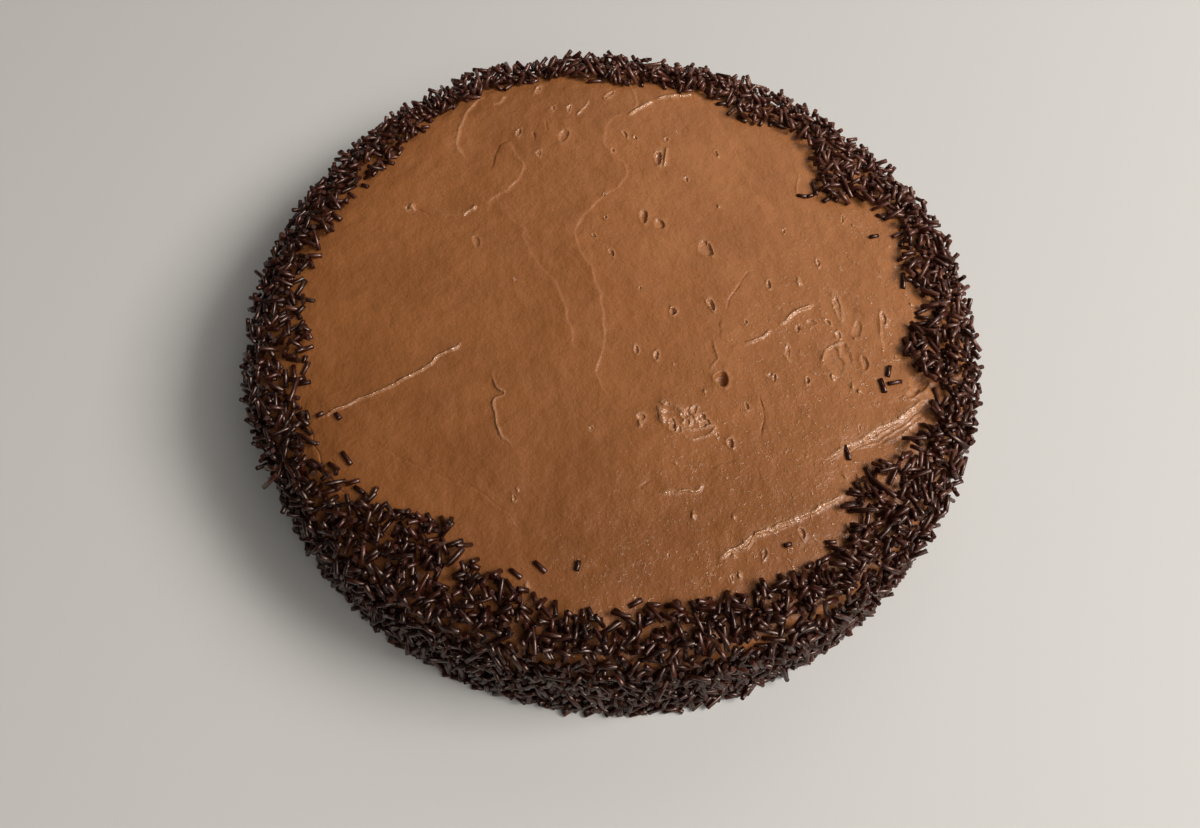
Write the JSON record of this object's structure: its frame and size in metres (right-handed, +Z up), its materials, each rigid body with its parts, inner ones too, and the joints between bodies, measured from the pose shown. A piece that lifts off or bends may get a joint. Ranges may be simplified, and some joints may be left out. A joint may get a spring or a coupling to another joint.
{
  "type": "frosted layer cake",
  "caption": "Whole round chocolate cake, low and broad, with a spatula-smoothed frosted top and a coat of dark vermicelli round its side and rim.",
  "frame": {"origin": "middle of the foot, on the surface that the cake stands on", "axes": "+Z up through the top, +X to the right and +Y to the back as the cake is usually looked at from the front; -Y is the front"},
  "size_m": [0.2416, 0.2416, 0.0386],
  "materials": {
    "frosting": "soft milk-chocolate frosting with a satin sheen, glossier where it is thin or wet",
    "vermicelli": "small glazed rods of dark chocolate with narrow highlights"
  },
  "bodies": {
    "root": {"frosted_cake": "frosting"}
  },
  "joints": []
}
